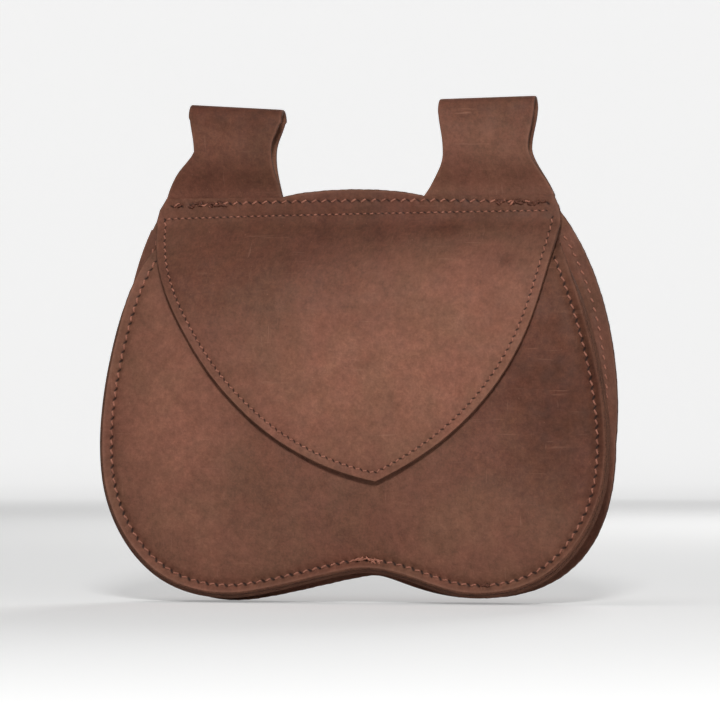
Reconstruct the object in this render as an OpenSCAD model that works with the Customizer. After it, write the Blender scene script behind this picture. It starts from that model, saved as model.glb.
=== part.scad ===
// Kidney-shaped leather belt pouch: back panel, front panel and gusset sewn with turned-out seams,
// and one long piece of leather that makes the flap, the yoke and the two folded belt loops.
// Millimetres, +Z up, the front faces -Y. Left and right are as seen from the front.
// The origin lies on the belt's centre line, midway between the two belt loops.

/* [Pouch] */
// Width of the pouch at its widest
pouch_w = 246; // [200:1:300]
// Height from the lowest point of the lobes to the roots of the belt loops
pouch_h = 194.5; // [160:0.5:235]
// Depth from the rear face of the back panel to the front face of the front panel
pouch_depth = 31; // [26:0.5:50]
// Width across the shoulders, where the flap starts
shoulder_w = 194; // [160:1:200]
// Distance between the lowest points of the two lobes
lobe_spread = 124; // [90:1:150]
// Height of the widest point above the lobes
widest_h = 76; // [60:1:92]
// Height of the notch between the lobes
notch_h = 12; // [6:0.5:18]
// How far the hand-cut notch sits right of the centre line
notch_shift = 4; // [-6:0.5:6]
// How far the mouth's edge lies below the roots of the belt loops
mouth_drop = 23; // [20:0.5:32]
// Width of the mouth between the front panel's edge and the back panel
mouth_gap = 7; // [6:0.5:10]
// How far the top edge rises between the belt loops
crown_h = 3.5; // [1:0.5:6]

/* [Leather] */
// Thickness of the panels, the flap and the belt loops
leather_t = 2.2; // [1.8:0.1:2.8]
// Thickness of the gusset
gusset_t = 1.8; // [1.2:0.1:2.2]
// Thickness of the flap's lining
lining_t = 1.1; // [0.8:0.1:1.4]
// Width of the turned-out seam allowance
seam_w = 7; // [6:0.5:10]

/* [Flap] */
// Length from the fold line to the point
flap_len = 127.5; // [100:0.5:150]
// How far the hand-cut point sits right of the centre line
tip_shift = 9; // [-10:0.5:10]
// Depth below the loop roots at which the flap folds
fold_drop = 11; // [10:0.5:14]
// Air between the flap's lining and the front panel
flap_gap = 1.2; // [1:0.1:3]

/* [Belt loops] */
// Height of a loop from its root to the top of its fold
loop_h = 46; // [40:0.5:60]
// Distance between the centres of the two necks
loop_spacing = 122; // [110:1:126]
// Width of a loop at its neck
neck_w = 39; // [30:0.5:44]
// Width of a loop at the top of its fold
loop_top_w = 47; // [38:0.5:56]
// Width of a loop at its root
root_w = 61; // [50:0.5:64]
// Room for the belt between the two layers of a loop
loop_gap = 9; // [7:0.5:12]

/* [Stitching] */
// Distance from the cut edge to the row of stitches
stitch_inset = 4.6; // [3.5:0.1:5]
// Length of one stitch and its space in the long seams
stitch_pitch = 5; // [4:0.1:7]
// Length of one stitch and its space in the fine rows above the fold and round the flap
fine_pitch = 3.5; // [3:0.1:5]
// Share of the pitch that the visible stitch takes
stitch_share = 0.72; // [0.5:0.02:0.8]
// Width of the thread
thread_w = 0.9; // [0.6:0.1:1.2]
// How far the thread stands above the leather
thread_h = 0.5; // [0.3:0.1:0.7]

/* [Fits] */
// Clearance at the fold of the flap and at the roots of the belt loops
fold_gap = 0.3; // [0.25:0.05:0.6]

/* [Hidden] */

leather = [0.44, 0.30, 0.24];
leather_dark = [0.36, 0.24, 0.19];
thread = [0.72, 0.52, 0.45];
curve_n = 14;
flap_curve_n = 24;
fold_curve_n = 12;

// Heights, from the belt's centre line
root_z = -loop_h / 2;
bottom_z = root_z - pouch_h;
fold_z = root_z - fold_drop;
mouth_z = root_z - mouth_drop;
loop_top_z = root_z + loop_h;

// Layers from front to rear at the yoke; the belt's centre plane is y = 0
tail_y = loop_gap / 2;
yoke_y = tail_y - leather_t;
back_y = tail_y + leather_t;
rear_y = back_y + leather_t;
front_y = rear_y - pouch_depth;
flap_t = leather_t + lining_t;
flap_y = front_y - flap_gap - flap_t;

// The roots of the belt loops turn about this line, which runs along X
root_axis = [tail_y, root_z];

// Outline of the lobes and sides
half_w = pouch_w / 2;
half_shoulder = shoulder_w / 2;
lobe_x = lobe_spread / 2;
shoulder_z = root_z - 5.5;
side_lean = 0.39;
side_handle = 38;

// Handles of the curves, as shares of the lengths that they belong to
quarter_handle = 0.5523;
notch_handle = 0.36;
lobe_handle = 0.58;
flank_handle = 1.47;
crown_handle = 0.7;
crown_top_handle = 0.5;
root_spread = 0.42;
top_spread = 0.55;
root_in = loop_spacing / 2 - neck_w / 2 - (root_w - neck_w) * root_spread;
root_out = root_in + root_w;

function bezier(p, n = curve_n) = [for (i = [0:n])
    let (t = i / n, u = 1 - t)
    u * u * u * p[0] + 3 * u * u * t * p[1] + 3 * u * t * t * p[2] + t * t * t * p[3]];
function tail(p) = [for (i = [1:len(p) - 1]) p[i]];
function reversed(p) = [for (i = [len(p) - 1:-1:0]) p[i]];
function mirrored(p) = [for (q = p) [-q[0], q[1]]];
function runs(p) = [for (i = 0, s = 0; i < len(p);
    s = s + (i < len(p) - 1 ? norm(p[i + 1] - p[i]) : 0), i = i + 1) s];
function spot(p, c, d) = [lookup(d, [for (i = [0:len(p) - 1]) [c[i], p[i][0]]]),
    lookup(d, [for (i = [0:len(p) - 1]) [c[i], p[i][1]]])];
function heading(p, i) = let (a = p[max(i - 1, 0)], b = p[min(i + 1, len(p) - 1)]) (b - a) / norm(b - a);
function beside(p, d) = [for (i = [0:len(p) - 1]) let (h = heading(p, i)) p[i] + d * [-h[1], h[0]]];

// One side of the pouch from the notch to the shoulder; side is 1 on the right and -1 on the left
function pouch_side(side) = let (
    k = quarter_handle,
    n = side * notch_shift,
    z = bottom_z,
    lobe = bezier([[n, z + notch_h], [n + (lobe_x - n) * notch_handle, z + notch_h],
        [lobe_x * lobe_handle, z], [lobe_x, z]]),
    corner = bezier([[lobe_x, z], [lobe_x + (half_w - lobe_x) * k, z],
        [half_w, z + widest_h * (1 - k)], [half_w, z + widest_h]]),
    flank = bezier([[half_w, z + widest_h], [half_w, z + widest_h * flank_handle],
        [half_shoulder + side_lean * side_handle, shoulder_z - side_handle], [half_shoulder, shoulder_z]]))
    concat(lobe, tail(corner), tail(flank));
function pouch_outline() = let (r = pouch_side(1), l = mirrored(pouch_side(-1)))
    concat(r, reversed(tail(l)));

// Top edge from the right shoulder to the left one: loop root, crown, loop root
function crown_edge(z) = let (rise = bezier([[root_in, z],
    [root_in * crown_handle, z + crown_h * crown_handle],
    [root_in * crown_top_handle, z + crown_h], [0, z + crown_h]]))
    concat([[root_out, z]], rise, reversed([for (q = rise) if (q[0] > 0) [-q[0], q[1]]]), [[-root_out, z]]);

// The front panel bends in to the mouth over this height, and comes to it at this slope
front_bend = 34;
front_bend_handle = 20;
mouth_slope = [14, 3.5];
mouth_lip = leather_t * 0.9;
// The flap falls from its fold to its flat front over this height, and leaves the fold at this slope
flap_bend = 46;
flap_bend_handle = 29;
fold_slope = [10, 8];

// Path of the front face from the bottom to the mouth, and of the flap from its point to its fold: [y, z]
mouth_end = [back_y - mouth_gap - mouth_lip, mouth_z];
front_path = concat([[front_y, bottom_z - 1]],
    bezier([[front_y, mouth_z - front_bend], [front_y, mouth_z - front_bend + front_bend_handle],
        [back_y - mouth_gap - mouth_slope[0], mouth_z - mouth_slope[1]], mouth_end]));
flap_path = concat([[flap_y, fold_z - flap_len - 1]],
    bezier([[flap_y, fold_z - flap_bend], [flap_y, fold_z - flap_bend + flap_bend_handle],
        [yoke_y, fold_z] - fold_slope, [yoke_y, fold_z]]));

// A layer that follows a [y, z] path between two depths behind its front face
function layer(p, d0, d1, level_end = false) = let (
    last = len(p) - 1,
    n = [for (i = [0:last]) (level_end && i == last) ? [1, 0]
        : let (h = heading(p, i)) [h[1], -h[0]]])
    concat([for (i = [0:last]) p[i] + d0 * n[i]], reversed([for (i = [0:last]) p[i] + d1 * n[i]]));
module sheet_layer(p, d0, d1, level_end = false) {
    rotate([90, 0, 90]) linear_extrude(pouch_w + 20, center = true) polygon(layer(p, d0, d1, level_end));
}
// An XZ outline made into a prism from y0 to y1
module slab(y0, y1) {
    translate([0, y1, 0]) rotate([90, 0, 0]) linear_extrude(y1 - y0) children();
}
module whole_depth() {
    slab(flap_y - 10, rear_y + 10) children();
}

// A row of stitches along an [x, z] line, from one distance along it to another
module stitches(p, pitch, from, to, slant = 0) {
    reach = pitch * 0.3;
    c = runs(p);
    for (k = [0:floor((to - from) / pitch) - 1]) {
        d = from + (k + 0.5) * pitch;
        a = spot(p, c, d - reach);
        b = spot(p, c, d + reach);
        translate((a + b) / 2) rotate(atan2(b[1] - a[1], b[0] - a[0]) + slant * (k % 2 == 0 ? 1 : -1))
            square([pitch * stitch_share, thread_w], center = true);
    }
}

module pouch_shape() {
    polygon(pouch_outline());
}
// The seam allowance: a band inside the cut edge that is open at the top
module seam_band(width) {
    difference() {
        pouch_shape();
        offset(delta = -width) pouch_shape();
        translate([-half_w, mouth_z]) square([pouch_w, pouch_h]);
        translate([-half_shoulder + seam_w + gusset_t, mouth_z - 40])
            square([shoulder_w - 2 * (seam_w + gusset_t), 60]);
    }
}
module gusset_wall_band() {
    difference() {
        offset(delta = -seam_w) pouch_shape();
        offset(delta = -seam_w - gusset_t) pouch_shape();
        translate([-half_w, mouth_z]) square([pouch_w, pouch_h]);
    }
}

// The back panel's top edge is trimmed to lie this far below the yoke's
crown_trim = 1.2;
module back_panel() {
    color(leather) slab(back_y, rear_y) {
        pouch_shape();
        polygon(concat([[half_shoulder, shoulder_z]], crown_edge(root_z - crown_trim),
            [[-half_shoulder, shoulder_z]]));
    }
}

module front_panel() {
    color(leather) intersection() {
        whole_depth() pouch_shape();
        sheet_layer(front_path, 0, leather_t);
    }
}

module gusset() {
    color(leather_dark) {
        intersection() {
            whole_depth() seam_band(seam_w);
            sheet_layer(front_path, leather_t, leather_t + gusset_t);
        }
        slab(back_y - gusset_t, back_y) seam_band(seam_w);
        difference() {
            slab(front_y + leather_t, back_y) gusset_wall_band();
            sheet_layer(front_path, -40, leather_t);
        }
    }
}

module yoke_shape(top_z) {
    low = fold_z + fold_gap;
    polygon(concat([[-half_shoulder - 0.5, low], [half_shoulder + 0.5, low], [half_shoulder, shoulder_z]],
        crown_edge(top_z), [[-half_shoulder, shoulder_z]]));
}
// The rounded groove in which the root of a belt loop turns
module root_groove(side) {
    x = side > 0 ? root_in : -root_out;
    translate([x - fold_gap, root_axis[0], root_axis[1]]) rotate([90, 0, 90])
        linear_extrude(root_w + 2 * fold_gap + 1) circle(r = leather_t + fold_gap, $fn = 48);
}
module yoke() {
    color(leather) difference() {
        slab(yoke_y, tail_y) yoke_shape(root_z);
        root_groove(1);
        root_groove(-1);
    }
}
module loop_tail(side) {
    color(leather_dark) difference() {
        slab(tail_y, back_y) translate([side > 0 ? root_in + 1 : -root_out + 1, fold_z + fold_gap])
            square([root_w - 2, fold_drop - fold_gap - 1]);
        root_groove(side);
    }
}

// Outline of the flap: nearly straight shoulders and two full curves that meet in a point
function flap_side(side) = bezier([[side * half_shoulder + side * 0.5, fold_z],
    [side * (half_shoulder - 3), fold_z - flap_len * 0.38],
    [side * half_shoulder * 0.62 + tip_shift * 0.5, fold_z - flap_len * 0.76],
    [tip_shift, fold_z - flap_len]], flap_curve_n);
module flap_shape() {
    polygon(concat(flap_side(1), reversed(flap_side(-1))));
}
module flap() {
    color(leather) intersection() {
        whole_depth() flap_shape();
        sheet_layer(flap_path, 0, leather_t, true);
    }
}
module flap_lining() {
    color(leather_dark) intersection() {
        whole_depth() flap_shape();
        sheet_layer(flap_path, leather_t, flap_t, true);
    }
}

// One edge of a belt loop, from its root to its top
function loop_edge(root_x, neck_x, top_x) = concat([[root_x, root_z - 4]],
    bezier([[root_x, root_z], [root_x + (neck_x - root_x) * 0.75, root_z + 8],
        [neck_x, root_z + loop_h * 0.3], [neck_x, root_z + loop_h * 0.47]]),
    tail(bezier([[neck_x, root_z + loop_h * 0.47], [neck_x, root_z + loop_h * 0.68],
        [top_x, root_z + loop_h * 0.8], [top_x, loop_top_z + 1]])));
function loop_outline() = let (
    neck_in = loop_spacing / 2 - neck_w / 2,
    top_in = neck_in - (loop_top_w - neck_w) * top_spread)
    concat(loop_edge(root_in, neck_in, top_in),
        reversed(loop_edge(root_out, neck_in + neck_w, top_in + loop_top_w)));
// Half of the strap's [y, z] section: the front layer leaves the root, runs up and folds over
function front_layer(y, r) = concat(
    bezier([[y, root_z], [y, root_z + 6], [-r, root_z + 5], [-r, root_z + 15]], fold_curve_n),
    [for (a = [180:-9:0]) [r * cos(a), loop_top_z - loop_gap / 2 - leather_t + r * sin(a)]]);
module loop_section() {
    r = loop_gap / 2;
    difference() {
        polygon(concat(front_layer(yoke_y, r + leather_t),
            [for (a = [0:-9:-171]) root_axis + leather_t * [cos(a), sin(a)]]));
        polygon(concat(front_layer(tail_y, r), [[tail_y, root_z + 3]]));
    }
}
module belt_loop(side) {
    color(leather) mirror([side > 0 ? 0 : 1, 0, 0]) intersection() {
        slab(-loop_gap, rear_y) polygon(loop_outline());
        rotate([90, 0, 90]) linear_extrude(pouch_w) loop_section();
    }
}

// Stitches on the front panel, and on the front of the gusset's rear flange
function seam_line(side) = side > 0 ? beside(pouch_side(1), stitch_inset)
    : mirrored(beside(pouch_side(-1), stitch_inset));
seam_top = mouth_drop - 2;
front_tack_len = 12;
tack_spread = thread_w * 0.8;
module front_seam_thread(side) {
    p = seam_line(side);
    c = runs(p);
    color(thread) intersection() {
        whole_depth() stitches(p, stitch_pitch, front_tack_len, c[len(c) - 1] - seam_top);
        sheet_layer(front_path, -thread_h, 0);
    }
}
module back_seam_thread(side) {
    p = seam_line(side);
    c = runs(p);
    color(thread) slab(back_y - gusset_t - thread_h, back_y - gusset_t)
        stitches(p, stitch_pitch, stitch_inset, c[len(c) - 1] - seam_top);
}
module front_seam_tack() {
    color(thread) slab(front_y - thread_h, front_y) for (side = [-1, 1])
        for (lift = [-1, 1]) translate([0, lift * tack_spread])
            stitches(seam_line(side), stitch_pitch, 1, front_tack_len);
}

// Rows across the yoke: a strong one along the crown and a fine one just above the fold
function yoke_line(drop, x) = [[-x, root_z - drop - 0.5], [-x / 3, root_z - drop + 1.5],
    [x / 3, root_z - drop + 1.5], [x, root_z - drop - 0.5]];
yoke_row_x = half_shoulder - 5;
yoke_row_drop = 4;
zigzag = 14;
tack_rows = 3;
tack_len = stitch_pitch * tack_rows;
tack_step = thread_w * 2.1;
tack_turn = 8;
fine_row_rise = 2.2;
module on_yoke() {
    color(thread) slab(yoke_y - thread_h, yoke_y) children();
}
module yoke_seam_thread() {
    p = yoke_line(yoke_row_drop, yoke_row_x);
    on_yoke() stitches(p, stitch_pitch, tack_len, runs(p)[3] - tack_len, zigzag);
}
module end_tack(side) {
    on_yoke() for (k = [0:tack_rows - 1]) for (lift = [0, tack_step])
        translate([side * (yoke_row_x - (k + 0.5) * stitch_pitch), root_z - yoke_row_drop - thread_w + lift])
            rotate(side * tack_turn) square([stitch_pitch * stitch_share, thread_w], center = true);
}
module fine_row_thread() {
    p = [[-yoke_row_x - 1, fold_z + fine_row_rise], [yoke_row_x + 1, fold_z + fine_row_rise]];
    on_yoke() stitches(p, fine_pitch, 1, 2 * yoke_row_x + 1);
}
flap_inset = stitch_inset - 0.6;
module flap_thread(side) {
    p = beside(flap_side(side), -side * flap_inset);
    c = runs(p);
    color(thread) intersection() {
        whole_depth() stitches(p, fine_pitch, fine_pitch, c[len(c) - 1] - fine_pitch);
        sheet_layer(flap_path, -thread_h, 0, true);
    }
}

back_panel();
front_panel();
gusset();
yoke();
loop_tail(-1);  // left_loop_tail
loop_tail(1);  // right_loop_tail
front_seam_thread(-1);  // front_seam_thread_left
front_seam_thread(1);  // front_seam_thread_right
front_seam_tack();
back_seam_thread(-1);  // back_seam_thread_left
back_seam_thread(1);  // back_seam_thread_right
yoke_seam_thread();
end_tack(-1);  // left_end_tack
end_tack(1);  // right_end_tack
fine_row_thread();
flap();
flap_lining();
flap_thread(-1);  // flap_thread_left
flap_thread(1);  // flap_thread_right
belt_loop(-1);  // left_belt_loop
belt_loop(1);  // right_belt_loop
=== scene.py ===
import math
import bmesh
import bpy
import numpy as np
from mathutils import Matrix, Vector
from mathutils.geometry import delaunay_2d_cdt


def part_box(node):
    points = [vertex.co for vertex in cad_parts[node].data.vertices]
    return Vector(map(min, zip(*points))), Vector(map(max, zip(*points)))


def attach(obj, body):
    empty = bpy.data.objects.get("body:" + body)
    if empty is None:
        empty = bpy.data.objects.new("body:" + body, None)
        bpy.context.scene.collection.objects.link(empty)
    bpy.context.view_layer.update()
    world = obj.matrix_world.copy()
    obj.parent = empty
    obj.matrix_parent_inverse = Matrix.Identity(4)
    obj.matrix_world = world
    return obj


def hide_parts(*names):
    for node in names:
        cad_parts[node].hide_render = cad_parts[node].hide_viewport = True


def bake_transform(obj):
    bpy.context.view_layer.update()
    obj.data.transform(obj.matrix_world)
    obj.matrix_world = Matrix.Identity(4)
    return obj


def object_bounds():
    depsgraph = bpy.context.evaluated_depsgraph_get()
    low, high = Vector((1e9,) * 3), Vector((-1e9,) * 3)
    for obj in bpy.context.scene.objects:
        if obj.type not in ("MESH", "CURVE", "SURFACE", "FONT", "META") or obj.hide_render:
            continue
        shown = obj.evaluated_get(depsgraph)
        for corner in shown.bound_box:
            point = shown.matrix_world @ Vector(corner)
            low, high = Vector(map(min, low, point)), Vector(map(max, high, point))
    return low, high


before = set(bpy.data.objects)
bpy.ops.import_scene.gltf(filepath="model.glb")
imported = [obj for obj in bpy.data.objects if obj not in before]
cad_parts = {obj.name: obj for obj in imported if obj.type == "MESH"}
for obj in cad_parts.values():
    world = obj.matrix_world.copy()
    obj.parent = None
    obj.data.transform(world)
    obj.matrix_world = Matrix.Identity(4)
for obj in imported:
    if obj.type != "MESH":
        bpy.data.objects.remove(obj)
cad_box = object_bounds()
scene = bpy.context.scene


# The camera. It stands about twelve degrees round to the pouch's right, level with its middle, and
# looks through a long lens, so the layers of the seams show at the right side and at the bottom.
view_turn = math.radians(12)
view_lift = math.radians(-1)
view_distance = 2.0
aim = Vector((-0.0024, 0, -0.1016))
view_from = Vector((math.sin(view_turn) * math.cos(view_lift), -math.cos(view_turn) * math.cos(view_lift),
                    math.sin(view_lift)))
lens = bpy.data.cameras.new("camera")
lens.lens = 208.3
camera = bpy.data.objects.new("camera", lens)
camera.location = aim + view_distance * view_from
camera.rotation_euler = (aim - camera.location).to_track_quat("-Z", "Y").to_euler()
scene.collection.objects.link(camera)
scene.camera = camera


# The studio. A wide round sweep of white board is the floor and the background in one, so no edge
# shows behind the pouch from any side. Large soft lamps stand in front, above and behind.
def add_mesh(name, points, faces, materials, face_material=None):
    """A piece in the scene, from points in metres; face_material is a number in materials for each face."""
    mesh = bpy.data.meshes.new(name)
    mesh.from_pydata(np.asarray(points, float).tolist(), [], [list(map(int, f)) for f in faces])
    for material in materials:
        mesh.materials.append(material)
    if face_material is not None:
        mesh.polygons.foreach_set("material_index", np.asarray(face_material, np.int32))
    mesh.polygons.foreach_set("use_smooth", np.ones(len(mesh.polygons), bool))
    mesh.update()
    piece = bpy.data.objects.new(name, mesh)
    scene.collection.objects.link(piece)
    return piece


def strip_faces(rows, columns, closed=False):
    """Four-cornered faces between the rows of a grid of points."""
    last = columns if closed else columns - 1
    return [(r * columns + c, r * columns + (c + 1) % columns, (r + 1) * columns + (c + 1) % columns,
             (r + 1) * columns + c) for r in range(rows - 1) for c in range(last)]


def add_node(tree, kind, inputs=None, **settings):
    node = tree.nodes.new(kind)
    for name, value in settings.items():
        setattr(node, name, value)
    for name, value in (inputs or {}).items():
        if isinstance(value, bpy.types.NodeSocket):
            tree.links.new(value, node.inputs[name])
        else:
            node.inputs[name].default_value = value
    return node


def tint(red, green, blue):
    """A screen colour from 0 to 255 as the light values that a shader takes."""
    share = np.array([red, green, blue]) / 255
    return (*np.where(share <= 0.04045, share / 12.92, ((share + 0.055) / 1.055) ** 2.4).tolist(), 1)


sweep_radius = 5.2
sweep_bend = 2.0
sweep_top = 4.5
floor_z = cad_box[0][2] - 0.0002
flat_reach = sweep_radius - sweep_bend
bend = np.linspace(0, math.pi / 2, 13)
sweep = [(0.02, 0), (1.2, 0), *zip(flat_reach + sweep_bend * np.sin(bend), sweep_bend * (1 - np.cos(bend))),
         (sweep_radius, sweep_top)]
around = np.linspace(0, 2 * math.pi, 73)[:-1]
board_points = [(r * math.cos(a), r * math.sin(a), floor_z + h) for r, h in sweep for a in around]
board_faces = [f[::-1] for f in strip_faces(len(sweep), len(around), True)] + [tuple(range(len(around)))]
white_board = bpy.data.materials.new("white board")
white_board.use_nodes = True
tree = white_board.node_tree
grain = add_node(tree, "ShaderNodeTexNoise", {"Scale": 9.0, "Detail": 4.0})
board_tone = add_node(tree, "ShaderNodeMix", {
    0: grain.outputs["Fac"], 6: tint(204, 204, 204), 7: tint(210, 210, 209)}, data_type="RGBA")
# To the eye the board glows a little, most where it rises, so floor and background look like one.
spot = add_node(tree, "ShaderNodeNewGeometry").outputs["Position"]
reach = add_node(tree, "ShaderNodeVectorMath", {0: spot}, operation="LENGTH")
glow = add_node(tree, "ShaderNodeMapRange", {
    "Value": reach.outputs["Value"], "From Min": 2.0, "From Max": 3.7, "To Min": 0.30, "To Max": 0.78},
    interpolation_type="SMOOTHSTEP")
seen = add_node(tree, "ShaderNodeLightPath").outputs["Is Camera Ray"]
board_glow = add_node(tree, "ShaderNodeMix", {0: seen, 2: 0.03, 3: glow.outputs[0]})
board_shader = tree.nodes["Principled BSDF"]
board_shader.inputs["Roughness"].default_value = 0.9
board_shader.inputs["Specular IOR Level"].default_value = 0.1
board_shader.inputs["Emission Color"].default_value = (1, 1, 1, 1)
tree.links.new(board_tone.outputs[2], board_shader.inputs["Base Color"])
tree.links.new(board_glow.outputs[0], board_shader.inputs["Emission Strength"])
board = add_mesh("studio_board", board_points, board_faces, [white_board])

world = bpy.data.worlds.new("studio air")
world.use_nodes = True
world.node_tree.nodes["Background"].inputs["Color"].default_value = (1, 1, 1, 1)
world.node_tree.nodes["Background"].inputs["Strength"].default_value = 0.06
scene.world = world
scene.view_settings.view_transform = "Standard"
for name, place, size, power in [
        ("front lamp", (0.38, -1.9, 0.82), 0.3, 31),
        ("side lamp", (1.7, -1.5, 0.2), 0.8, 6),
        ("top lamp", (-0.5, -0.4, 1.9), 0.8, 7),
        ("back lamp", (0.3, 2.1, 1.1), 1.0, 24)]:
    soft_box = bpy.data.lights.new(name, "AREA")
    soft_box.size = size
    soft_box.energy = power
    lamp = bpy.data.objects.new(name, soft_box)
    lamp.location = place
    lamp.rotation_euler = (aim - lamp.location).to_track_quat("-Z", "Y").to_euler()
    scene.collection.objects.link(lamp)


# The front panel. Oiled nubuck, cut as a kidney with a notch between its two lobes. It is sewn to the
# gusset with the seam turned outwards, so it swells like a drumhead inside the row of stitches, and its
# cut edge flares forward, most at the bottom. All lengths from here on are in millimetres.
mm = 0.001
front_low, front_high = (np.array(corner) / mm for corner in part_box("front_panel"))
back_low, back_high = (np.array(corner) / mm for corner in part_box("back_panel"))
flap_low, flap_high = (np.array(corner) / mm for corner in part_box("flap"))
bottom_z, mouth_z = front_low[2], front_high[2]
widest_z = bottom_z + 76
front_y, back_y = front_low[1], back_low[1]
leather = back_high[1] - back_y
gusset_leather = 1.8
notch_x = 4.0
notch_rise = 12.5
swell = 8.0
seam_inset = 4.7
seam_pitch = 4.65
crown_pitch = 4.9
fine_pitch = 3.5
outline_step = 1.25
corner_round = 0.32
corner_depth = 0.28
edge_bulge = 0.14
no_edge = 9.0
crease = math.radians(58)


def bezier(a, b, c, d, count=24):
    """Points of a curve from a to d that starts towards b and arrives from c."""
    t = np.linspace(0, 1, count + 1)[:, None]
    a, b, c, d = (np.array(p, float) for p in (a, b, c, d))
    return a * (1 - t) ** 3 + 3 * b * t * (1 - t) ** 2 + 3 * c * t * t * (1 - t) + d * t ** 3


def joined(*runs):
    """Runs of points as one line, where each run starts at the point that ends the one before."""
    return np.concatenate([runs[0]] + [run[1:] for run in runs[1:]])


def spaced(path, step):
    """The same line with points an even distance apart, about step."""
    length = np.concatenate([[0], np.cumsum(np.linalg.norm(np.diff(path, axis=0), axis=1))])
    at = np.linspace(0, length[-1], max(2, round(length[-1] / step) + 1))
    return np.stack([np.interp(at, length, path[:, i]) for i in range(path.shape[1])], 1)


def ease(value, low, high):
    """Nought up to low, one from high on, with a soft step between them."""
    t = np.clip((np.asarray(value, float) - low) / (high - low), 0, 1)
    return t * t * (3 - 2 * t)


def inward(path, closed=False):
    """Unit normals to the left of a line, which is the inside of a counterclockwise outline."""
    along = np.gradient(path, axis=0)
    if closed:
        along = np.roll(path, -1, axis=0) - np.roll(path, 1, axis=0)
    side = np.stack([-along[:, 1], along[:, 0]], 1)
    return side / np.linalg.norm(side, axis=1)[:, None]


def lobe(side_x, flank, lobe_x, lift, fullness, notch_handle, low_handle):
    """Half of the kidney, from the notch round the lobe and up the flank. It is drawn as if on the right."""
    low = bottom_z + lift
    start = notch_x if side_x > 0 else -notch_x
    reach = abs(side_x)
    line = joined(
        bezier((start, bottom_z + notch_rise), (start + notch_handle, bottom_z + notch_rise),
               (lobe_x * low_handle, low), (lobe_x, low)),
        bezier((lobe_x, low), (lobe_x + (reach - lobe_x) * fullness, low),
               (reach, low + (widest_z - low) * (1 - fullness)), (reach, widest_z)),
        bezier((reach, widest_z), *flank))
    return line if side_x > 0 else (line * [-1, 1])[::-1]


def flare_angle(z):
    """How far the seam allowance leans forward at a height, in radians."""
    return np.radians(np.interp(z, np.array([0, 24, 60, 130, 158, 171]) + bottom_z, [40, 38, 28, 25, 11, 0]))


front_silhouette = spaced(joined(
    lobe(-126, [(126, bottom_z + 105), (115, bottom_z + 150), (101, mouth_z)], 62, 0, 0.63, 11, 0.7),
    lobe(122, [(122, bottom_z + 105), (110.5, bottom_z + 150), (95.6, mouth_z)], 59, 0.8, 0.63, 22, 0.62)),
    outline_step)
drawn_in = ((leather + gusset_leather) * np.sin(flare_angle(front_silhouette[:, 1]))
            + 2.0 * ease(front_silhouette[:, 1], bottom_z + 60, bottom_z + 14))
front_edge = spaced(front_silhouette + inward(front_silhouette) * drawn_in[:, None], outline_step)
mouth_edge = spaced(np.array([front_edge[-1], front_edge[0]]), outline_step)
front_outline = joined(front_edge, mouth_edge[:-1])


def edge_distance(points, outline):
    """Distance from each point to a closed outline, positive inside it."""
    a, b = outline, np.roll(outline, -1, axis=0)
    along = b - a
    found = []
    for group in np.array_split(points, max(1, len(points) // 1500)):
        away = group[:, None] - a
        t = np.clip((away * along).sum(2) / (along ** 2).sum(1), 0, 1)
        near = np.linalg.norm(away - t[..., None] * along, axis=2).min(1)
        crosses = ((a[:, 1] > group[:, 1:2]) != (b[:, 1] > group[:, 1:2])) & (
            group[:, 0:1] < a[:, 0] + (group[:, 1:2] - a[:, 1]) * along[:, 0] / np.where(
                along[:, 1] == 0, 1e-9, along[:, 1]))
        found.append(np.where(crosses.sum(1) % 2, near, -near))
    return np.concatenate(found)


class Relief:
    """Values on a fine square grid over a panel, read between the grid's points."""
    step = 1.5
    margin = 12

    def __init__(self, outline):
        self.low = outline.min(0) - self.margin
        self.shape = np.ceil((outline.max(0) + self.margin - self.low) / self.step).astype(int) + 1
        grid = np.meshgrid(*(low + self.step * np.arange(count) for low, count in zip(self.low, self.shape)),
                           indexing="ij")
        points = np.stack([axis.ravel() for axis in grid], 1)
        self.inside = edge_distance(points, outline).reshape(self.shape)

    def read(self, values, x, z):
        u = np.clip((x - self.low[0]) / self.step, 0, self.shape[0] - 1.001)
        v = np.clip((z - self.low[1]) / self.step, 0, self.shape[1] - 1.001)
        i, j = u.astype(int), v.astype(int)
        p, q = u - i, v - j
        return (values[i, j] * (1 - p) * (1 - q) + values[i + 1, j] * p * (1 - q)
                + values[i, j + 1] * (1 - p) * q + values[i + 1, j + 1] * p * q)


front_relief = Relief(front_outline)
sewn = front_relief.inside > seam_inset
drumhead = np.zeros(front_relief.shape)
for _ in range(1600):
    beside = (np.roll(drumhead, 1, 0) + np.roll(drumhead, -1, 0)
              + np.roll(drumhead, 1, 1) + np.roll(drumhead, -1, 1))
    drumhead = np.where(sewn, beside / 4 + 0.002, 0)
drumhead = (drumhead / drumhead.max()) ** 0.75
front_profile = joined(
    np.array([[front_y, bottom_z - 20], [front_y, mouth_z - 34]]),
    bezier((front_y, mouth_z - 34), (front_y, mouth_z - 14), (-14.3, mouth_z - 3.5), (-2.3, mouth_z)),
    np.array([[-2.3, mouth_z], [6.0, mouth_z + 6]]))


def front_swell(x, z):
    """How far the panel swells forward: two full lobes, with a valley that fades upwards from the notch."""
    valley = np.exp(-((x - notch_x) / 17) ** 2) * ease(z, mouth_z - 60, bottom_z + 12)
    return swell * front_relief.read(drumhead, x, z) * (1 - 0.55 * valley)


def front_base(x, z):
    """Depth of the panel's outer face before its edge flares."""
    return np.interp(z, front_profile[:, 1], front_profile[:, 0]) - front_swell(x, z)


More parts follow.
